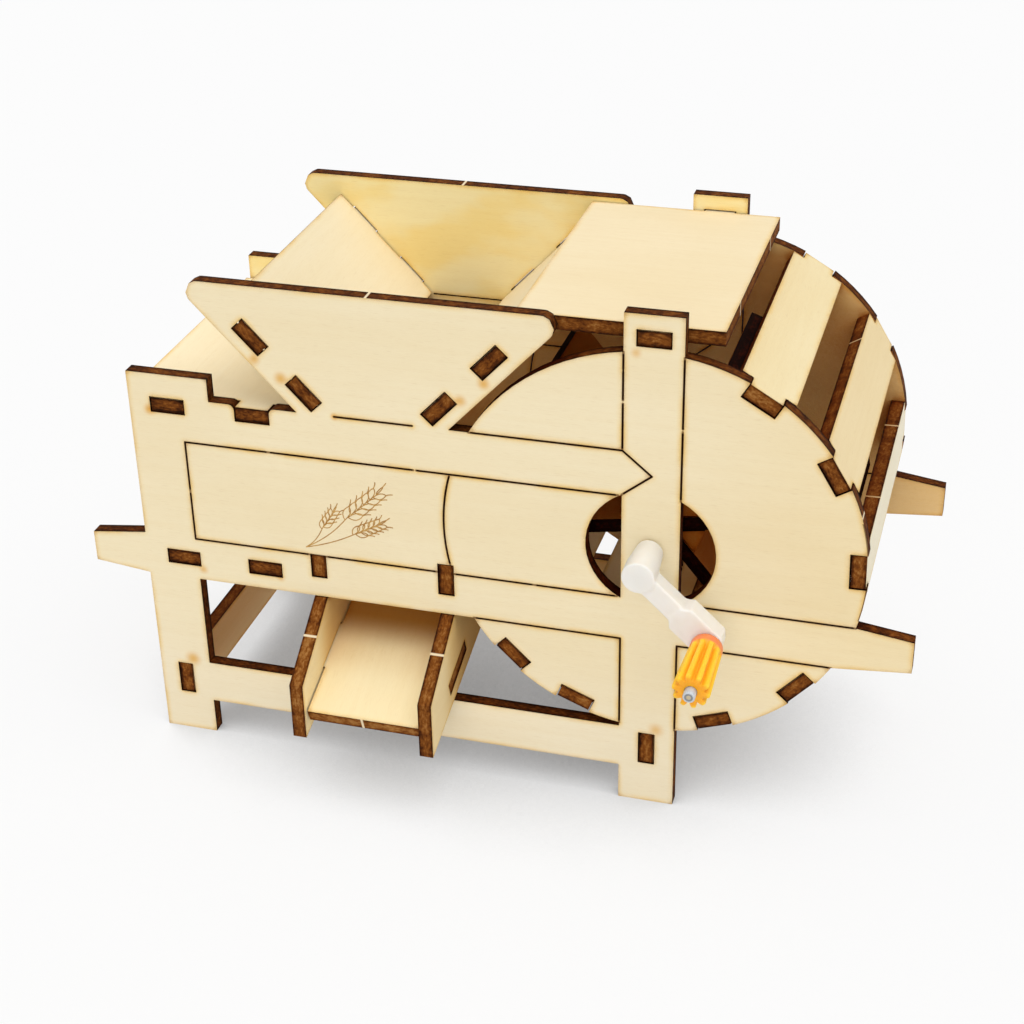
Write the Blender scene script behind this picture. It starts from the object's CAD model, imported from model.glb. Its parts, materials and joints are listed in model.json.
"""Looks of the toy winnower: ply with burnt cuts, plastic crank, steel pins, light and camera."""

import json
import math

import bmesh
import bpy
from mathutils import Matrix, Vector


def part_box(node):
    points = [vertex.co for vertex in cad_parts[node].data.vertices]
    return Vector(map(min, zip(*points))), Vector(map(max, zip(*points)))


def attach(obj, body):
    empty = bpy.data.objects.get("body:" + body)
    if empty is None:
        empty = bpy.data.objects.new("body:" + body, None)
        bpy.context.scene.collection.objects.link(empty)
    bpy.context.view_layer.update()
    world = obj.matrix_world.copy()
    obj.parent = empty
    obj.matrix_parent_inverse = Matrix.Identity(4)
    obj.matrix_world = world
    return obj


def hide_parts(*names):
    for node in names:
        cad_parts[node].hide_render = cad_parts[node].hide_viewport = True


MM = 0.001

# Camera of the photograph
CAMERA_PLACE = (0.105625, -0.351127, 0.260826)
CAMERA_RIGHT = (0.9605312866, 0.2776432065, -0.0171434347)
CAMERA_UP = (-0.1217871393, 0.4751416060, 0.8714403863)
CAMERA_FORWARD = (-0.2500950622, 0.8349579056, -0.4902017500)
LENS = 68.485
SENSOR = 36.0
NEAREST = 0.01

# Places on the model, in millimetres: the panels' outer faces along Y, axes and corners as (x, z)
FRONT_Y = -21.55
BACK_Y = 47.05
HUB = (35.6, 62.45)
DRUM_RADIUS = 43.4
CRANK = (49.861, 49.151)

# Zones of the model, each as the values between which it fades in, in millimetres: upwards,
# leftwards, or along the depth
HOPPER_UP = (74.0, 86.0)
HOPPER_LEFT = (2.0, -2.0)
HOPPER_WALL_UP = (80.0, 86.0)
HOPPER_WALL_LEFT = (8.0, 0.0)
LID_UP = (101.0, 106.0)
BY_LID_UP = (92.0, 96.0)
BY_LID_LEFT = (10.0, 6.0)
LEGS_UP = (6.0, 16.0)
BODY_UP = (34.0, 46.0)
FEET_DOWN = (40.0, 12.0)
RIGHT_END = (35.0, 80.0)
FROM_FRONT = (FRONT_Y - 8.0, FRONT_Y + 2.0)
BACK_INNER = (BACK_Y - 4.0, BACK_Y - 3.1)
BACK_OUTER = (BACK_Y - 0.4, BACK_Y - 0.1)
CHUTE_WALL_END = (-32.0, -21.5)
UNDER_RAIL = (-20.5, -11.5)
PAST_RAIL = (0.0, -6.0)

WHITE = 0.973  # the photograph's background, linear
FULL_WHITE = (1.0, 1.0, 1.0, 1.0)
STUDIO_WHITE = (WHITE, WHITE, WHITE, 1.0)


class Tree:
    """Short calls that add nodes to a node tree."""

    def __init__(self, tree):
        self.tree = tree
        self.tree.nodes.clear()

    def put(self, socket, value):
        if isinstance(value, bpy.types.NodeSocket):
            self.tree.links.new(value, socket)
        elif value is not None:
            socket.default_value = value

    def node(self, kind, *values, **settings):
        made = self.tree.nodes.new("ShaderNode" + kind)
        for name, value in settings.items():
            setattr(made, name, value)
        for socket, value in zip(made.inputs, values):
            self.put(socket, value)
        return made

    def math(self, operation, a, b=None, clamp=False):
        return self.node("Math", a, b, operation=operation, use_clamp=clamp).outputs[0]

    def vector(self, operation, a, b=None):
        made = self.node("VectorMath", a, b, operation=operation)
        return made.outputs["Value" if operation in ("DOT_PRODUCT", "LENGTH", "DISTANCE") else "Vector"]

    def scaled(self, vector, *factors):
        return self.vector("MULTIPLY", vector, factors)

    def join(self, x, y, z):
        return self.node("CombineXYZ", x, y, z).outputs[0]

    def split(self, vector):
        return self.node("SeparateXYZ", vector).outputs

    def noise(self, vector, scale=1.0, detail=2.0, roughness=0.5):
        made = self.node("TexNoise")
        self.put(made.inputs["Vector"], vector)
        self.put(made.inputs["Scale"], scale)
        self.put(made.inputs["Detail"], detail)
        self.put(made.inputs["Roughness"], roughness)
        return made.outputs["Fac"]

    def ramp(self, value, low, high, to_low=0.0, to_high=1.0, smooth=True):
        """The value's place between low and high, as a number from to_low to to_high."""
        kind = "SMOOTHSTEP" if smooth else "LINEAR"
        made = self.node("MapRange", value, low, high, to_low, to_high, interpolation_type=kind)
        return made.outputs[0]

    def mix(self, factor, a, b, blend="MIX"):
        made = self.node("Mix", data_type="RGBA", blend_type=blend)
        self.put(made.inputs[0], factor)
        self.put(made.inputs[6], (*a, 1.0) if isinstance(a, tuple) else a)
        self.put(made.inputs[7], (*b, 1.0) if isinstance(b, tuple) else b)
        return made.outputs[2]

    def tinted(self, share, colour, tint):
        """The colour, multiplied by the tint as far as the share says."""
        return self.mix(share, colour, self.mix(1.0, colour, tint, "MULTIPLY"))

    def bump(self, height, distance, strength=1.0):
        made = self.node("Bump")
        self.put(made.inputs["Strength"], strength)
        self.put(made.inputs["Distance"], distance)
        self.put(made.inputs["Height"], height)
        return made.outputs["Normal"]

    def open_sky(self, distance, inside=False, samples=5):
        """Share of the rays that leave the surface, or stay in the sheet, over that distance."""
        made = self.node("AmbientOcclusion", samples=samples, inside=inside, only_local=inside)
        self.put(made.inputs["Distance"], distance)
        return made.outputs["AO"]

    def place(self):
        """The point on the piece, in millimetres."""
        return self.scaled(self.node("TexCoord").outputs["Object"], 1 / MM, 1 / MM, 1 / MM)

    def own_normal(self):
        return self.node("TexCoord").outputs["Normal"]

    def from_crank(self, place):
        """Distance from the crank pin's axis."""
        x, _, z = self.split(place)
        off = self.join(self.math("SUBTRACT", x, CRANK[0]), self.math("SUBTRACT", z, CRANK[1]), 0.0)
        return self.vector("LENGTH", off)

    def finish(self, colour, roughness, specular=None, metallic=0.0):
        """The surface's shader, linked to the output."""
        shader = self.node("BsdfPrincipled")
        self.put(shader.inputs["Base Color"], colour)
        self.put(shader.inputs["Roughness"], roughness)
        shader.inputs["Metallic"].default_value = metallic
        if specular is not None:
            shader.inputs["Specular IOR Level"].default_value = specular
        self.put(self.node("OutputMaterial").inputs["Surface"], shader.outputs[0])
        return shader


def new_material(name):
    """A material and its empty node tree."""
    made = bpy.data.materials.new(name)
    made.use_nodes = True
    return made, Tree(made.node_tree)


# Colours of bare wood, of the laser's lines, of char from dark to light, and of bare bridges; linear
PALE = (0.900, 0.770, 0.515)
DEEPER = (0.840, 0.680, 0.400)
FLECK = (0.660, 0.470, 0.230)
LINE = (0.120, 0.044, 0.010)
COAL = (0.016, 0.005, 0.0015)
BURNT = (0.080, 0.021, 0.004)
TOAST = (0.205, 0.064, 0.010)
BISCUIT = (0.440, 0.215, 0.060)
NICK = (0.800, 0.660, 0.440)

# Tints that the wood's colour is multiplied by: near a cut, at a scorched spot, at a cut's very
# rim, where wood faces wood, and deep inside the body
GLOW = (0.960, 0.780, 0.420)
SCORCH = (0.860, 0.560, 0.190)
RIM = (0.420, 0.230, 0.070)
WARMED = (1.0, 0.84, 0.52)
DEEP = (0.44, 0.170, 0.036)

# Reach of the rays that find a cut nearby inside the sheet, and other wood around it, in metres
CUT_REACH = 0.0013
ROOM_REACH = 0.040

# Depth of the ply's relief and of the milky plastic's, in metres
PLY_RELIEF = 0.00005
MILKY_RELIEF = 0.00003

# Shifts of the grain from one sheet to the next, in millimetres
SEED_ALONG = 37.0
SEED_ACROSS = 11.0

# How fine each noise is along the grain, across it and through the sheet, per millimetre
BROAD_NOISE = (0.018, 0.045, 0.045)
STREAK_NOISE = (0.035, 0.8, 0.8)
FLECK_NOISE = (0.38, 5.2, 5.2)
FIBRE_NOISE = (0.9, 11.0, 11.0)
GLOW_NOISE = (0.13, 0.13, 0.13)
MOTTLE_NOISE = (0.9, 0.9, 1.9)
PATCH_NOISE = (0.30, 0.30, 0.12)
CLOUD_NOISE = (0.045, 0.045, 0.085)  # along X, Y and Z, inside the hopper


def ply_group():
    """Group that gives ply its colour and height: grain on its faces, char on its cut edges."""
    group = bpy.data.node_groups.new("ply_surface", "ShaderNodeTree")
    face = group.interface
    vectors = ("Sheet normal", "Grain")
    floats = ("Middle", "Seed", "Char", "Outer", "Line", "Glow", "Scorch", "Nick")
    for name in vectors:
        face.new_socket(name, in_out="INPUT", socket_type="NodeSocketVector")
    for name in floats:
        face.new_socket(name, in_out="INPUT", socket_type="NodeSocketFloat")
    face.new_socket("Tint", in_out="INPUT", socket_type="NodeSocketColor")
    face.new_socket("Colour", in_out="OUTPUT", socket_type="NodeSocketColor")
    face.new_socket("Height", in_out="OUTPUT", socket_type="NodeSocketFloat")
    t = Tree(group)
    given = group.nodes.new("NodeGroupInput").outputs
    normal, grain = given["Sheet normal"], given["Grain"]
    place = t.place()
    across_axis = t.vector("CROSS_PRODUCT", normal, grain)
    seed = given["Seed"]
    along = t.vector("DOT_PRODUCT", place, grain)
    along = t.math("ADD", along, t.math("MULTIPLY", seed, SEED_ALONG))
    across = t.vector("DOT_PRODUCT", place, across_axis)
    across = t.math("ADD", across, t.math("MULTIPLY", seed, SEED_ACROSS))
    through = t.math("SUBTRACT", t.vector("DOT_PRODUCT", place, normal), given["Middle"])
    sheet = t.join(along, across, through)
    facing = t.vector("DOT_PRODUCT", t.own_normal(), normal)
    edge = t.math("LESS_THAN", t.math("ABSOLUTE", facing), 0.5)

    # Faces: broad tone, streaks and short flecks along the grain
    broad = t.ramp(t.noise(t.scaled(sheet, *BROAD_NOISE), detail=3.0), 0.35, 0.7)
    streaks = t.ramp(t.noise(t.scaled(sheet, *STREAK_NOISE), detail=4.0, roughness=0.6), 0.3, 0.75)
    flecks = t.ramp(t.noise(t.scaled(sheet, *FLECK_NOISE), detail=2.0), 0.58, 0.76)
    fine = t.noise(t.scaled(sheet, *FIBRE_NOISE), detail=2.0)
    wood = t.mix(t.math("MULTIPLY", broad, 0.35), PALE, DEEPER)
    wood = t.mix(t.math("MULTIPLY", streaks, 0.26), wood, DEEPER)
    wood = t.mix(t.math("MULTIPLY", flecks, 0.20), wood, FLECK)
    wood = t.mix(t.ramp(fine, 0.45, 0.7, 0.0, 0.07), wood, FLECK)
    wood = t.mix(1.0, wood, given["Tint"], "MULTIPLY")

    # Faces near a cut: a faint tan glow of uneven width, and a thin burnt rim
    kept = t.open_sky(CUT_REACH, inside=True)
    uneven = t.ramp(t.noise(t.scaled(sheet, *GLOW_NOISE), detail=3.0), 0.32, 0.68, 0.25, 1.0)
    near = t.math("MAXIMUM", t.ramp(kept, 0.97, 0.60, 0.0, 0.9), given["Glow"])
    wood = t.tinted(t.math("MULTIPLY", near, uneven), wood, GLOW)
    wood = t.tinted(given["Scorch"], wood, SCORCH)
    wood = t.tinted(t.ramp(kept, 0.60, 0.50, 0.0, 0.6), wood, RIM)
    wood = t.mix(given["Line"], wood, LINE)

    # Cut edges: mottled char, darkest along both borders of the sheet
    mottle = t.noise(t.scaled(sheet, *MOTTLE_NOISE), detail=5.0, roughness=0.68)
    patches = t.noise(t.scaled(sheet, *PATCH_NOISE), detail=2.0)
    tone = t.math("ADD", t.math("MULTIPLY", mottle, 1.40), t.math("MULTIPLY", patches, 0.70))
    tone = t.math("SUBTRACT", tone, 0.40)
    border = t.ramp(t.math("ABSOLUTE", through), 0.85, 1.5)
    corner = t.ramp(kept, 0.80, 0.52)
    tone = t.math("SUBTRACT", tone, t.math("MULTIPLY", border, 0.30))
    tone = t.math("SUBTRACT", tone, t.math("MULTIPLY", corner, 0.12))
    layer = t.ramp(t.math("ABSOLUTE", through), 0.62, 0.50)
    tone = t.math("ADD", tone, t.math("MULTIPLY", layer, 0.06))
    tone = t.math("ADD", tone, given["Char"])
    burnt = t.mix(t.ramp(tone, 0.20, 0.50, smooth=False), COAL, BURNT)
    burnt = t.mix(t.ramp(tone, 0.50, 0.80, smooth=False), burnt, TOAST)
    burnt = t.mix(t.ramp(tone, 0.80, 1.25, smooth=False), burnt, BISCUIT)
    burnt = t.mix(given["Nick"], burnt, NICK)

    # Warmer where wood faces wood, and brown deep inside the body, but not in the open hopper
    around = t.open_sky(ROOM_REACH)
    x, y, z = t.split(place)
    lit = t.math("MULTIPLY", t.ramp(z, *HOPPER_UP), t.ramp(x, *HOPPER_LEFT))
    lit = t.math("MAXIMUM", lit, t.ramp(z, *LID_UP))
    by_lid = t.math("MULTIPLY", t.ramp(z, *BY_LID_UP), t.ramp(x, *BY_LID_LEFT))
    lit = t.math("MAXIMUM", lit, t.math("MULTIPLY", by_lid, t.ramp(y, *BACK_INNER)))
    lit = t.math("MAXIMUM", lit, given["Outer"])
    body = t.math("MAXIMUM", t.ramp(z, *LEGS_UP, 0.0, 0.35), t.ramp(z, *BODY_UP))
    inside = t.math("MULTIPLY", body, t.ramp(y, *FROM_FRONT))
    allowed = t.math("MULTIPLY", inside, t.math("SUBTRACT", 1.0, lit))
    warm = t.math("MULTIPLY", t.ramp(around, 0.98, 0.70), allowed)
    deep = t.math("MULTIPLY", t.ramp(around, 0.86, 0.34), allowed)
    colour = t.mix(edge, wood, burnt)
    colour = t.tinted(deep, t.tinted(warm, colour, WARMED), DEEP)
    relief = t.math("MULTIPLY", t.math("ADD", flecks, fine), -0.5)
    height = t.math("ADD", relief, t.math("MULTIPLY", edge, t.math("MULTIPLY", mottle, 2.0)))
    result = group.nodes.new("NodeGroupOutput")
    t.put(result.inputs["Colour"], colour)
    t.put(result.inputs["Height"], height)
    return group


def segment_group():
    """Group that gives the distance from a point to a straight run."""
    group = bpy.data.node_groups.new("distance_to_run", "ShaderNodeTree")
    for name in ("Place", "Start", "Run", "Scaled run"):
        group.interface.new_socket(name, in_out="INPUT", socket_type="NodeSocketVector")
    group.interface.new_socket("Distance", in_out="OUTPUT", socket_type="NodeSocketFloat")
    t = Tree(group)
    given = group.nodes.new("NodeGroupInput").outputs
    away = t.vector("SUBTRACT", given["Place"], given["Start"])
    share = t.math("ADD", t.vector("DOT_PRODUCT", away, given["Scaled run"]), 0.0, clamp=True)
    scaled = t.node("VectorMath", given["Run"], operation="SCALE")
    t.put(scaled.inputs["Scale"], share)
    result = group.nodes.new("NodeGroupOutput")
    t.put(result.inputs["Distance"], t.vector("DISTANCE", away, scaled.outputs["Vector"]))
    return group


# Laser lines of the side panels, as runs from one (x, z) to the next
LINES = (
    ((-64.5, 74.2), (-13.9, 74.2)),
    ((-13.3, 74.2), (28.85, 74.2)),
    ((-64.5, 74.2), (-64.5, 50.7)),
    ((-64.5, 50.7), (28.85, 50.7)),
    ((-1.9, 84.3), (29.65, 84.3)),
    ((29.65, 84.3), (35.65, 79.25)),
    ((35.65, 79.25), (29.65, 74.46)),
    ((29.65, 105.44), (29.65, 101.9)),
    ((29.65, 101.2), (29.65, 95.2)),
    ((29.65, 94.5), (29.65, 84.3)),
    ((41.55, 105.44), (41.55, 90.4)),
    ((41.55, 89.8), (41.55, 74.46)),
    ((42.35, 50.7), (77.38, 50.7)),
    ((-1.9, 40.6), (29.65, 40.6)),
    ((29.65, 40.6), (29.65, 19.46)),
    ((41.55, 19.46), (41.55, 40.6)),
    ((41.55, 40.6), (73.1, 40.6)),
)
THROAT = ((-30.5, 84.3), (-13.8, 84.3))  # the slit at the hopper's throat
DRUM_LINE = (52.7, 74.2)  # heights between which the drum's rim is drawn, at its left

# Distances from a line between which it and its glow fade in, with their strength, and the
# distance from the panel's outer face over which both fade out
LINE_HALF = (0.31, 0.20, 0.0, 0.8)
GLOW_HALF = (1.2, 0.2, 0.0, 0.85)
OUTER_FACE = (0.4, 0.1)

# Scorched spots on the front panel, as (x, z, radius, strength)
SCORCHED = (
    (-71.9, 81.0, 1.9, 0.9),
    (-47.0, 95.3, 1.9, 0.8),
    (-41.5, 91.6, 2.2, 0.9),
    (-3.4, 91.1, 2.0, 0.8),
    (1.6, 95.4, 2.0, 0.9),
    (32.1, 105.5, 1.6, 0.6),
    (-63.4, 43.2, 1.6, 0.7),
    (-45.3, 43.9, 1.4, 0.6),
    (-68.4, 19.1, 2.6, 0.9),
    (-30.4, 84.3, 1.2, 0.8),
    (37.6, 18.8, 2.4, 0.7),
)

NICK_HALF = (0.34, 0.18)  # distances from a bridge's middle between which it fades in

# Bare bridges that the cut left across a piece's edges, as (x, y, z)
NICKS = {
    "front_side_panel": ((-22.3, -20.0, 111.2), (77.0, -21.0, 75.5)),
    "back_side_panel": ((-22.8, 46.6, 111.2),),
    "chute_left_wall": ((-36.0, -29.1, 35.1),),
    "chute_right_wall": ((-7.6, -29.1, 35.1),),
    "chute_floor": ((-22.3, -37.4, 20.8),),
    "lid_plate": ((48.7, 31.6, 108.9), (48.7, -3.3, 109.0)),
    "drum_slat_2": ((68.3, 30.2, 89.4),),
    "drum_slat_3": ((75.9, 31.4, 69.7), (76.0, -1.4, 69.7)),
}


def run_distance(t, group, place, start, end, y):
    """Distance from a place to a run on a panel's face."""
    a, b = Vector((start[0], y, start[1])), Vector((end[0], y, end[1]))
    run = b - a
    made = t.tree.nodes.new("ShaderNodeGroup")
    made.node_tree = group
    t.put(made.inputs["Place"], place)
    made.inputs["Start"].default_value = a
    made.inputs["Run"].default_value = run
    made.inputs["Scaled run"].default_value = run / run.length_squared
    return made.outputs["Distance"]


def joined(t, operation, values):
    """The values' least or greatest, as MINIMUM or MAXIMUM says."""
    total = values[0]
    for value in values[1:]:
        total = t.math(operation, total, value)
    return total


def spots(t, place, y, places):
    """Soft round spots on a face at y, as one mask. Each is (x, z, radius, strength)."""
    masks = []
    for x, z, radius, strength in places:
        away = t.vector("DISTANCE", place, (x, y, z))
        masks.append(t.ramp(away, radius, 0.0, 0.0, strength))
    return joined(t, "MAXIMUM", masks)


def nicks(t, normal, places):
    """Thin lines through the sheet, at the bare bridges on its edges."""
    masks = []
    for spot in places:
        away = t.vector("SUBTRACT", t.place(), spot)
        aside = t.vector("LENGTH", t.vector("CROSS_PRODUCT", away, tuple(normal)))
        masks.append(t.ramp(aside, *NICK_HALF))
    return joined(t, "MAXIMUM", masks)


def panel_marks(t, surface, runs, front):
    """Dark laser lines with their glow on a side panel's outer face, and its scorched spots."""
    y = FRONT_Y if front else BACK_Y
    place = t.place()
    x, depth, z = t.split(place)
    flat = t.join(x, y, z)
    away = [run_distance(t, runs, flat, start, end, y) for start, end in (*LINES, THROAT)]
    away = joined(t, "MINIMUM", away)
    to_hub = t.vector("DISTANCE", flat, (HUB[0], y, HUB[1]))
    rim = t.math("ABSOLUTE", t.math("SUBTRACT", to_hub, DRUM_RADIUS))
    low, high = DRUM_LINE
    beyond = t.math("ABSOLUTE", t.math("SUBTRACT", z, (low + high) / 2))
    beyond = t.math("MAXIMUM", 0.0, t.math("SUBTRACT", beyond, (high - low) / 2))
    away = t.math("MINIMUM", away, t.math("MAXIMUM", rim, beyond))
    side = t.ramp(t.math("ABSOLUTE", t.math("SUBTRACT", depth, y)), *OUTER_FACE)
    t.put(surface.inputs["Line"], t.math("MULTIPLY", side, t.ramp(away, *LINE_HALF)))
    t.put(surface.inputs["Glow"], t.math("MULTIPLY", side, t.ramp(away, *GLOW_HALF)))
    if front:
        t.put(surface.inputs["Scorch"], spots(t, place, y, SCORCHED))
    outward = (0.0, -1.0 if front else 1.0, 0.0)
    t.put(surface.inputs["Outer"], t.vector("DOT_PRODUCT", t.own_normal(), outward))


def sheet_axes(obj):
    """The sheet's unit normal, and its middle along it in millimetres."""
    areas = {}
    for polygon in obj.data.polygons:
        n = polygon.normal
        if max(n, key=abs) < 0:
            n = -n
        key = tuple(round(x, 2) for x in n)
        total, longest = areas.get(key, (0.0, n))
        areas[key] = (total + polygon.area, longest)
    normal = max(areas.values(), key=lambda item: item[0])[1].normalized()
    reach = [normal.dot(vertex.co) for vertex in obj.data.vertices]
    return normal, (min(reach) + max(reach)) / 2 / MM


# Each piece's char on its edges, lighter as it grows, and its tint
PLAIN = (1.0, 1.0, 1.0)
PLAIN_CHAR = 0.04
FAN_CHAR = -0.45
DRESS = {
    "front_side_panel": (-0.14, PLAIN),
    "back_side_panel": (-0.14, PLAIN),
    "body_roof_plate": (-0.06, (1.05, 1.07, 1.12)),
    "body_floor_plate": (-0.04, PLAIN),
    "hopper_left_board": (0.04, (1.04, 1.08, 1.16)),
    "lid_plate": (0.03, (0.97, 0.96, 0.96)),
    "chute_floor": (0.22, (1.04, 1.05, 1.01)),
    "chute_left_wall": (0.15, (1.08, 1.08, 1.02)),
    "chute_right_wall": (0.08, (1.0, 0.97, 0.88)),
    "left_leg_crossbar": (0.10, (1.10, 0.99, 0.92)),
    "right_leg_crossbar": (0.10, (1.10, 0.99, 0.92)),
    "drum_slat_1": (0.12, (0.96, 0.96, 0.91)),
    "drum_slat_2": (0.08, (0.96, 0.92, 0.84)),
    "drum_slat_3": (0.12, (1.05, 1.15, 1.40)),
    "drum_slat_6": (0.14, PLAIN),
}

# Pieces that light reaches from all around, so that they stay pale
OPEN_PIECES = ("body_roof_plate", "hopper_left_board", "lid_plate")

# Tints of the panels' outer faces, and of other places on them and on the chute
PANEL_TINT = (0.985, 1.0, 1.03)
RIGHT_END_TINT = (0.965, 0.94, 0.88)
FEET_TINT = (0.985, 1.02, 1.13)
CLOUD_TINTS = ((1.10, 1.13, 0.98), (1.09, 1.03, 0.68))
BACK_INNER_TINT = (0.94, 0.79, 0.60)
CHUTE_WALL_TINT = (0.95, 0.86, 0.66)
UNDER_RAIL_TINT = (0.50, 0.28, 0.09)


def back_tint(t):
    """The back panel's inner side: yellow clouds in the hopper, duller wood elsewhere."""
    place = t.place()
    x, y, z = t.split(place)
    clouds = t.ramp(t.noise(t.scaled(place, *CLOUD_NOISE), detail=3.0), 0.40, 0.62)
    bright = t.mix(clouds, *CLOUD_TINTS)
    high = t.math("MULTIPLY", t.ramp(z, *HOPPER_WALL_UP), t.ramp(x, *HOPPER_WALL_LEFT))
    high = t.math("MAXIMUM", high, t.ramp(z, *LID_UP))
    inner = t.mix(high, BACK_INNER_TINT, bright)
    return t.mix(t.ramp(y, *BACK_OUTER), inner, PANEL_TINT)


def chute_tint(t, tint, is_floor):
    """The chute's wood: its walls yellower towards the body, its floor brown under the rail."""
    y = t.split(t.place())[1]
    if is_floor:
        under_rail = t.math("MULTIPLY", t.ramp(y, *UNDER_RAIL), t.ramp(y, *PAST_RAIL))
        return t.tinted(under_rail, tint, UNDER_RAIL_TINT)
    return t.tinted(t.ramp(y, *CHUTE_WALL_END), tint, CHUTE_WALL_TINT)


def front_tint(t):
    """The front panel's paler feet and its warmer right end."""
    x, _, z = t.split(t.place())
    tint = t.mix(t.ramp(x, *RIGHT_END), PANEL_TINT, RIGHT_END_TINT)
    return t.mix(t.ramp(z, *FEET_DOWN), tint, FEET_TINT)


def dress_ply(nodes, record):
    """Gives each sheet its own ply, with the grain along it and its marks."""
    group, runs = ply_group(), segment_group()
    slots = {part["node"]: part["material_slot"] for part in record["subparts"]}
    for seed, name in enumerate(sorted(n for n, slot in slots.items() if slot == "ply")):
        obj = nodes[name]
        normal, middle = sheet_axes(obj)
        crosswise = abs(normal.y) < 0.5 and name != "lid_plate"
        wish = Vector((0, 1, 0)) if crosswise else Vector((1, 0, 0))
        grain = (wish - normal * wish.dot(normal)).normalized()
        char, tint = DRESS.get(name, (FAN_CHAR if name.startswith("fan") else PLAIN_CHAR, PLAIN))
        made, t = new_material(name)
        surface = t.tree.nodes.new("ShaderNodeGroup")
        surface.node_tree = group
        for key, value in {
            "Sheet normal": normal,
            "Grain": grain,
            "Middle": middle,
            "Seed": seed,
            "Char": char,
            "Tint": (*tint, 1.0),
            "Outer": float(name in OPEN_PIECES),
        }.items():
            surface.inputs[key].default_value = value
        if name == "back_side_panel":
            t.put(surface.inputs["Tint"], back_tint(t))
        if name == "front_side_panel":
            t.put(surface.inputs["Tint"], front_tint(t))
        if name.startswith("chute"):
            t.put(surface.inputs["Tint"], chute_tint(t, tint, name.endswith("floor")))
        if name == "hopper_right_board":
            upwards = t.split(t.own_normal())[2]
            t.put(surface.inputs["Outer"], t.ramp(upwards, 0.1, 0.3))
        if name.endswith("side_panel"):
            panel_marks(t, surface, runs, name.startswith("front"))
        if name in NICKS:
            t.put(surface.inputs["Nick"], nicks(t, normal, NICKS[name]))
        shader = t.finish(surface.outputs["Colour"], roughness=0.75, specular=0.04)
        t.put(shader.inputs["Normal"], t.bump(surface.outputs["Height"], PLY_RELIEF, 0.5))
        obj.data.materials.clear()
        obj.data.materials.append(made)


def steel_material():
    """Drawn rod: faint lines along it."""
    made, t = new_material("steel")
    drawn = t.noise(t.scaled(t.place(), 9.0, 0.4, 9.0), detail=3.0)
    colour = t.mix(t.ramp(drawn, 0.3, 0.7), (0.62, 0.64, 0.67), (0.50, 0.51, 0.54))
    t.finish(colour, roughness=t.ramp(drawn, 0.3, 0.7, 0.25, 0.42), metallic=1.0)
    return made


def milky_material():
    """Milky plastic, a little uneven in its depth."""
    made, t = new_material("milky_plastic")
    place = t.place()
    cloud = t.ramp(t.noise(t.scaled(place, 0.25, 0.25, 0.25), detail=2.0), 0.3, 0.7)
    to_hub = t.vector("DISTANCE", t.scaled(place, 1.0, 0.0, 1.0), (HUB[0], 0.0, HUB[1]))
    colour = t.mix(cloud, (0.86, 0.83, 0.78), (0.83, 0.79, 0.73))
    colour = t.mix(t.ramp(to_hub, 5.0, 2.0, 0.0, 0.5), colour, (0.80, 0.80, 0.77))
    shader = t.finish(colour, roughness=0.38, specular=0.35)
    shader.inputs["Subsurface Weight"].default_value = 0.5
    shader.inputs["Subsurface Radius"].default_value = (1.0, 0.9, 0.75)
    shader.inputs["Subsurface Scale"].default_value = 0.0015
    fine = t.noise(t.scaled(place, 1.2, 1.2, 1.2), detail=2.0)
    t.put(shader.inputs["Normal"], t.bump(fine, MILKY_RELIEF, 0.4))
    return made


# The grip, in millimetres: its base's y, its length, its radii at base and tip, its bore, the
# depth of its grooves, and the length of its plain shoulder; then its teeth, and one's angle
SLEEVE_BASE = -33.15
SLEEVE_LENGTH = 16.0
SLEEVE_RADII = (3.25, 3.8)
SLEEVE_BORE = 1.3
SLEEVE_ROOT = 1.1
SLEEVE_SHOULDER = 2.1
SLEEVE_TEETH = 10
SLEEVE_PHASE = -8.0
SLEEVE_SIDES = 160


def orange_material():
    """Yellow ridges, orange grooves, and a salmon shoulder."""
    made, t = new_material("orange_plastic")
    place = t.place()
    y = t.split(place)[1]
    low, high = SLEEVE_RADII
    share = t.math("DIVIDE", t.math("SUBTRACT", SLEEVE_BASE, y), SLEEVE_LENGTH)
    outer = t.math("ADD", low, t.math("MULTIPLY", share, high - low))
    depth = t.math("SUBTRACT", outer, t.from_crank(place))
    colour = t.mix(t.ramp(depth, 0.15, 1.0), (1.0, 0.610, 0.036), (0.950, 0.400, 0.014))
    shoulder_end = SLEEVE_BASE - SLEEVE_SHOULDER
    shoulder = t.ramp(y, shoulder_end - 0.5, shoulder_end + 0.3)
    colour = t.mix(shoulder, colour, (0.930, 0.240, 0.090))
    cloud = t.noise(t.scaled(place, 0.6, 0.3, 0.6), detail=2.0)
    colour = t.mix(t.ramp(cloud, 0.4, 0.7, 0.0, 0.2), colour, (0.97, 0.48, 0.02))
    shader = t.finish(colour, roughness=0.42, specular=0.30)
    shader.inputs["Subsurface Weight"].default_value = 0.25
    shader.inputs["Subsurface Radius"].default_value = (1.0, 0.5, 0.1)
    shader.inputs["Subsurface Scale"].default_value = 0.001
    return made


def pin_material():
    """The crank pin: bright rod, with a darker ring round a sandy core at its front end."""
    made, t = new_material("crank_pin")
    place = t.place()
    radius = t.from_crank(place)
    drawn = t.noise(t.scaled(place, 5.0, 0.4, 5.0), detail=2.0)
    bright = t.mix(t.ramp(drawn, 0.3, 0.7), (0.62, 0.66, 0.70), (0.50, 0.53, 0.57))
    inner = t.mix(t.ramp(radius, 0.42, 0.50), (0.56, 0.46, 0.30), (0.27, 0.28, 0.29))
    colour = t.mix(t.ramp(radius, 0.80, 0.88), inner, bright)
    t.finish(colour, roughness=0.35, metallic=0.25)
    return made


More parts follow.
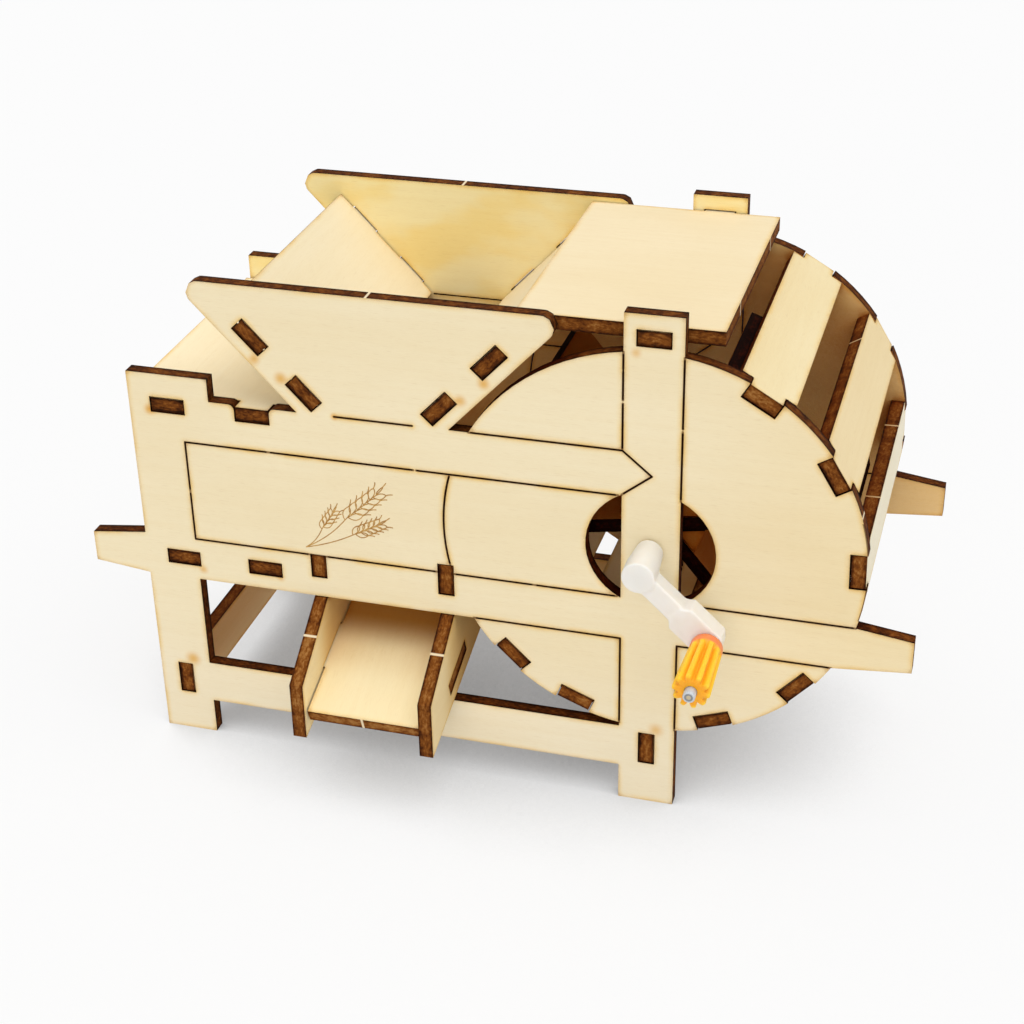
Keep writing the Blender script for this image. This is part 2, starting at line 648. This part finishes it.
def new_piece(name, mesh, finish, smooth=True):
    """A piece of the scene, with its material."""
    piece = bpy.data.objects.new(name, mesh)
    bpy.context.scene.collection.objects.link(piece)
    mesh.materials.clear()
    mesh.materials.append(finish)
    if smooth:
        mesh.shade_smooth()
    return piece


def applied(piece):
    """The piece's mesh with its modifiers applied."""
    graph = bpy.context.evaluated_depsgraph_get()
    mesh = bpy.data.meshes.new_from_object(piece.evaluated_get(graph))
    piece.modifiers.clear()
    piece.data = mesh
    return piece


# The crank arm's remesh and its rounding, then its hub's taper: from the y where it is thinnest
# to the y where it is whole, the share of its width at the first, and how far the hub reaches
CRANK_VOXEL = 0.16
CRANK_ROUNDING = 26
HUB_TAPER = (-22.5, -28.5, 0.84)
HUB_REACH = 3.8


def moulded_crank(nodes, finish):
    """The crank arm as it comes from the mould: its corners rounded, its hub thinner at the back."""
    piece = new_piece("moulded_crank", nodes["crank_arm"].data.copy(), finish)
    remesh = piece.modifiers.new("remesh", "REMESH")
    remesh.mode = "VOXEL"
    remesh.voxel_size = CRANK_VOXEL * MM
    rounding = piece.modifiers.new("rounding", "SMOOTH")
    rounding.factor = 0.5
    rounding.iterations = CRANK_ROUNDING
    applied(piece)
    back, front, thin = HUB_TAPER
    for vertex in piece.data.vertices:
        x, y, z = vertex.co / MM
        from_hub = Vector((x - HUB[0], z - HUB[1]))
        if from_hub.length < HUB_REACH and y > front:
            share = min(1.0, (y - front) / (back - front))
            from_hub *= 1.0 - (1.0 - thin) * share
            vertex.co = Vector((HUB[0] + from_hub.x, y, HUB[1] + from_hub.y)) * MM
    piece.data.shade_smooth()
    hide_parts("crank_arm")
    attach(piece, "fan")


# Edges sharper than this stay sharp on the turned pieces
SHARP = math.radians(50)

# A tooth's flank, from where it leaves the groove, and its width; both in shares of the pitch
FLANK_START = 0.43
FLANK_WIDTH = 0.30


def tooth_height(degrees):
    """Height of a tooth's rounded profile, from 0 in the groove to 1 on the ridge."""
    pitch = 360.0 / SLEEVE_TEETH
    off = abs((degrees - SLEEVE_PHASE + pitch / 2) % pitch - pitch / 2) / pitch
    flank = min(1.0, max(0.0, (FLANK_START - off) / FLANK_WIDTH))
    return flank * flank * (3.0 - 2.0 * flank)


def quads(made, one, two):
    """Faces between two closed rows of like length."""
    for i in range(len(one)):
        j = (i + 1) % len(one)
        made.faces.new((one[i], one[j], two[j], two[i]))


def to_mesh(name, made):
    """The bmesh as a mesh with its faces outwards."""
    bmesh.ops.recalc_face_normals(made, faces=made.faces)
    mesh = bpy.data.meshes.new(name)
    made.to_mesh(mesh)
    made.free()
    return mesh


def turned(name, rings, hollow):
    """A body round the crank pin's axis, from rings of (degrees, radius, y)."""
    made = bmesh.new()
    verts = []
    for ring in rings:
        row = []
        for degrees, radius, y in ring:
            a = math.radians(degrees)
            x, z = CRANK[0] + radius * math.cos(a), CRANK[1] + radius * math.sin(a)
            row.append(made.verts.new((x * MM, y * MM, z * MM)))
        verts.append(row)
    if hollow:
        verts.append(verts[0])
    else:
        made.faces.new(verts[0])
        made.faces.new(verts[-1])
    for one, two in zip(verts, verts[1:]):
        quads(made, one, two)
    return to_mesh(name, made)


def even_ring(radius, y, around):
    """A round ring for turned."""
    return [(360.0 * i / around, radius, y) for i in range(around)]


def rounded_sleeve(finish):
    """The grip: ten rounded ridges that widen towards the tip, and a plain shoulder at the base."""
    low, high = SLEEVE_RADII
    rings = []
    for along, share, inset in (
        (0.0, 0.0, 0.25),
        (0.25, 0.0, 0.0),
        (SLEEVE_SHOULDER - 0.5, 0.0, 0.0),
        (SLEEVE_SHOULDER, 0.0, 0.04),
        (SLEEVE_SHOULDER + 0.3, 0.5, 0.02),
        (SLEEVE_SHOULDER + 0.9, 1.0, 0.0),
        (6.0, 1.0, 0.0),
        (11.0, 1.0, 0.0),
        (SLEEVE_LENGTH - 0.5, 1.0, 0.0),
        (SLEEVE_LENGTH - 0.15, 1.0, 0.10),
        (SLEEVE_LENGTH, 1.0, 0.35),
    ):
        outer = low + (high - low) * along / SLEEVE_LENGTH - inset
        ring = []
        for degrees, radius, y in even_ring(outer, SLEEVE_BASE - along, SLEEVE_SIDES):
            groove = SLEEVE_ROOT * share * (1.0 - tooth_height(degrees))
            ring.append((degrees, radius - groove, y))
        rings.append(ring)
    for along in (SLEEVE_LENGTH - 0.02, SLEEVE_LENGTH - 0.4, 0.4, 0.02):
        rings.append(even_ring(SLEEVE_BORE, SLEEVE_BASE - along, SLEEVE_SIDES))
    piece = new_piece("rounded_sleeve", turned("rounded_sleeve", rings, hollow=True), finish)
    piece.data.set_sharp_from_angle(angle=SHARP)
    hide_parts("crank_handle_sleeve")
    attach(piece, "handle")


# The crank pin, in millimetres: its rod, its rim, its dish and the dish's depth, and its core
PIN_RADIUS = 1.0
PIN_RIM = 1.22
PIN_DISH = (0.86, 0.78)
PIN_DISH_DEPTH = 0.14
PIN_CORE = (0.52, 0.44)
PIN_CORE_BACK = 0.03
PIN_SIDES = 48


def headed_pin(finish):
    """The crank pin: a rod whose front end spreads into a rim round a dished core."""
    low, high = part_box("crank_pin")
    front, back = low[1] / MM, high[1] / MM
    dished = front + PIN_DISH_DEPTH
    rings = []
    for radius, y in (
        (PIN_RADIUS - 0.1, back),
        (PIN_RADIUS, back - 0.1),
        (PIN_RADIUS, front + 3.0),
        (PIN_RIM, front + 2.4),
        (PIN_RIM, front + 0.15),
        (PIN_RIM - 0.12, front),
        (PIN_DISH[0], front),
        (PIN_DISH[1], dished),
        (PIN_CORE[0], dished),
        (PIN_CORE[1], front + PIN_CORE_BACK),
    ):
        rings.append(even_ring(radius, y, PIN_SIDES))
    piece = new_piece("headed_pin", turned("headed_pin", rings, hollow=False), finish)
    piece.data.set_sharp_from_angle(angle=SHARP)
    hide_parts("crank_pin")
    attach(piece, "fan")


# Wheat sprig: its foot, then each ear's stem bend, foot and tip as (x, z), its pairs of grains and
# their length
SPRIG_FOOT = (-38.88, 52.43)
EARS = (
    ((-36.4, 54.0), (-34.91, 57.38), (-30.5, 64.16), 4, 2.5),
    ((-33.2, 55.6), (-29.57, 60.32), (-19.19, 70.28), 5, 3.7),
    ((-33.0, 54.0), (-28.0, 56.92), (-19.0, 61.9), 5, 3.0),
)
SPRIG_WIDTH = 0.21
SPRIG_SUNK = 0.05  # the strokes' back, behind the panel's face
SPRIG_PROUD = -0.02  # the first stroke's front, before the panel's face
SPRIG_STEP = 0.0004  # each next stroke's front is that much further out, so that none share a face
SPRIG_COLOURS = ((0.400, 0.205, 0.055), (0.560, 0.330, 0.105))


def bend(a, b, c, count):
    """Points on a curve from a to c that leans towards b."""
    a, b, c = Vector(a), Vector(b), Vector(c)
    return [a.lerp(b, i / count).lerp(b.lerp(c, i / count), i / count) for i in range(count + 1)]


def grain_outline(foot, along, side, length):
    """A grain: an open leaf shape that leans away from the ear, with a beard at its tip."""
    across = Vector((-along.y, along.x)) * side
    tip = foot + (along * 0.84 + across * 0.46) * length
    out = bend(foot, foot + (along * 0.15 + across * 0.62) * length, tip, 6)
    back = bend(tip, foot + (along * 0.78 + across * 0.02) * length, foot, 6)
    lean = tip + (along * 0.22 + across * 0.06) * length
    end = tip + (along * 0.42 + across * 0.24) * length
    return [out, back, bend(tip, lean, end, 3)]


def sprig_strokes():
    """The sprig's lines, each a list of points: stems, pairs of grains, and one at each tip."""
    strokes = []
    for lean, foot, tip, pairs, length in EARS:
        strokes.append(bend(SPRIG_FOOT, lean, foot, 10))
        foot, tip = Vector(foot), Vector(tip)
        along = (tip - foot).normalized()
        spine = (tip - foot).length - length * 1.15
        for i in range(pairs):
            for side, shift in ((1, 0.0), (-1, 0.5)):
                start = foot + along * spine * (i + shift) / pairs
                strokes += grain_outline(start, along, side, length * (1.0 - 0.2 * i / pairs))
        strokes += grain_outline(foot + along * spine, along, 0.3, length * 0.8)
    return strokes


def wheat_sprig():
    """Three ears of wheat drawn with thin scorched lines on the front panel."""
    made = bmesh.new()
    half = SPRIG_WIDTH / 2
    for order, stroke in enumerate(sprig_strokes()):
        proud = SPRIG_PROUD - SPRIG_STEP * order
        rows = []
        for i, point in enumerate(stroke):
            ahead = stroke[min(i + 1, len(stroke) - 1)] - stroke[max(i - 1, 0)]
            side = Vector((-ahead.y, ahead.x)).normalized() * half
            row = []
            for corner, y in ((side, proud), (side, SPRIG_SUNK), (-side, SPRIG_SUNK), (-side, proud)):
                at = point + corner
                row.append(made.verts.new((at.x * MM, (FRONT_Y + y) * MM, at.y * MM)))
            rows.append(row)
        for one, two in zip(rows, rows[1:]):
            quads(made, one, two)
        made.faces.new(rows[0])
        made.faces.new(rows[-1])
    finish, t = new_material("sprig")
    faint = t.ramp(t.noise(t.scaled(t.place(), 0.9, 0.9, 0.9), detail=2.0), 0.35, 0.65)
    t.finish(t.mix(faint, *SPRIG_COLOURS), roughness=0.85, specular=0.10)
    piece = new_piece("wheat_sprig", to_mesh("wheat_sprig", made), finish, smooth=False)
    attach(piece, "frame")


def dress_rest(nodes):
    """Gives steel and plastic their materials, and adds the scene's own pieces."""
    steel, milky, orange, pin = steel_material(), milky_material(), orange_material(), pin_material()
    for name, made in {
        "fan_axle": steel,
        "crank_pin": pin,
        "crank_arm": milky,
        "axle_collar": milky,
        "crank_handle_sleeve": orange,
    }.items():
        nodes[name].data.materials.clear()
        nodes[name].data.materials.append(made)
    moulded_crank(nodes, milky)
    rounded_sleeve(orange)
    headed_pin(pin)
    wheat_sprig()


FLOOR_HALF = 6.0
FLOOR_COLOUR = (0.87, 0.87, 0.87, 1.0)
FLOOR_REACH = 0.08  # how far the model's wide soft shadow is looked for, in metres
FLOOR_OWN_LIGHT = 0.82  # share of the floor's look that is its own white

# Each lamp's name, strength, width in degrees, and the direction it comes from
LAMPS = (
    ("key", 0.85, 50.0, (0.35, -0.20, 1.0)),
    ("fill", 0.68, 40.0, (0.10, -1.0, 0.36)),
)

# The world's light: from level, and more of it towards the top
SKY_LEVEL = 0.27
SKY_TOP = 1.05


def make_floor():
    """A white floor. Seen by the camera it is paler than its light, and keeps the shadows."""
    mesh = bpy.data.meshes.new("floor")
    corners = [(x * FLOOR_HALF, y * FLOOR_HALF, 0) for x, y in ((-1, -1), (1, -1), (1, 1), (-1, 1))]
    mesh.from_pydata(corners, [], [(0, 1, 2, 3)])
    floor = bpy.data.objects.new("floor", mesh)
    bpy.context.scene.collection.objects.link(floor)
    made, t = new_material("floor")
    diffuse = t.node("BsdfDiffuse", FLOOR_COLOUR)
    wide = t.ramp(t.open_sky(FLOOR_REACH, samples=16), 0.05, 0.66, 0.15, 1.0, smooth=False)
    bright = t.node("Emission", STUDIO_WHITE, wide)
    seen = t.node("MixShader", FLOOR_OWN_LIGHT, diffuse.outputs[0], bright.outputs[0])
    camera_ray = t.node("LightPath").outputs["Is Camera Ray"]
    both = t.node("MixShader", camera_ray, diffuse.outputs[0], seen.outputs[0])
    t.put(t.node("OutputMaterial").inputs["Surface"], both.outputs[0])
    mesh.materials.append(made)


def make_lamp(name, energy, angle, source):
    """A wide sun whose light comes from the source's direction."""
    sun = bpy.data.lights.new(name, "SUN")
    sun.energy = energy
    sun.angle = math.radians(angle)
    lamp = bpy.data.objects.new(name, sun)
    lamp.rotation_euler = Vector(source).to_track_quat("Z", "Y").to_euler()
    bpy.context.scene.collection.objects.link(lamp)


def make_light():
    """Two lamps and a plain bright world, white to the camera and in metal."""
    world = bpy.data.worlds.new("studio")
    bpy.context.scene.world = world
    world.use_nodes = True
    t = Tree(world.node_tree)
    paths = t.node("LightPath")
    seen = t.math("MAXIMUM", paths.outputs["Is Camera Ray"], paths.outputs["Is Glossy Ray"])
    seen = t.math("MAXIMUM", seen, paths.outputs["Is Transmission Ray"])
    up = t.split(t.node("TexCoord").outputs["Generated"])[2]
    level = t.math("ADD", t.math("MULTIPLY", t.math("MULTIPLY", up, up), SKY_TOP), SKY_LEVEL)
    ambient = t.node("Background", FULL_WHITE, level)
    white = t.node("Background", STUDIO_WHITE, 1.0)
    mixed = t.node("MixShader", seen, ambient.outputs[0], white.outputs[0])
    t.put(t.node("OutputWorld").inputs["Surface"], mixed.outputs[0])
    for lamp in LAMPS:
        make_lamp(*lamp)


def make_camera():
    """The camera that took the photograph."""
    lens = bpy.data.cameras.new("camera")
    lens.lens = LENS
    lens.sensor_width = SENSOR
    lens.clip_start = NEAREST
    camera = bpy.data.objects.new("camera", lens)
    back = -Vector(CAMERA_FORWARD)
    turn = Matrix((CAMERA_RIGHT, CAMERA_UP, back)).transposed().to_4x4()
    camera.matrix_world = Matrix.Translation(CAMERA_PLACE) @ turn
    bpy.context.scene.collection.objects.link(camera)
    bpy.context.scene.camera = camera


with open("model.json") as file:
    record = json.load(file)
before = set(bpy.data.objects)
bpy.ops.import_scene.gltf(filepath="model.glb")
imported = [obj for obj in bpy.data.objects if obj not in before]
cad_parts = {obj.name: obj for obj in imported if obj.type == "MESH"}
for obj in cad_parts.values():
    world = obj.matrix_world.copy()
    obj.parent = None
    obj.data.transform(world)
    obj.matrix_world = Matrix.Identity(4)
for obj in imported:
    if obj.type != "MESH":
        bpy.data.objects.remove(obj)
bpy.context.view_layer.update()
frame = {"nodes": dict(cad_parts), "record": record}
dress_ply(frame["nodes"], frame["record"])
dress_rest(frame["nodes"])
make_floor()
make_light()
make_camera()
bpy.context.scene.view_settings.view_transform = "Standard"
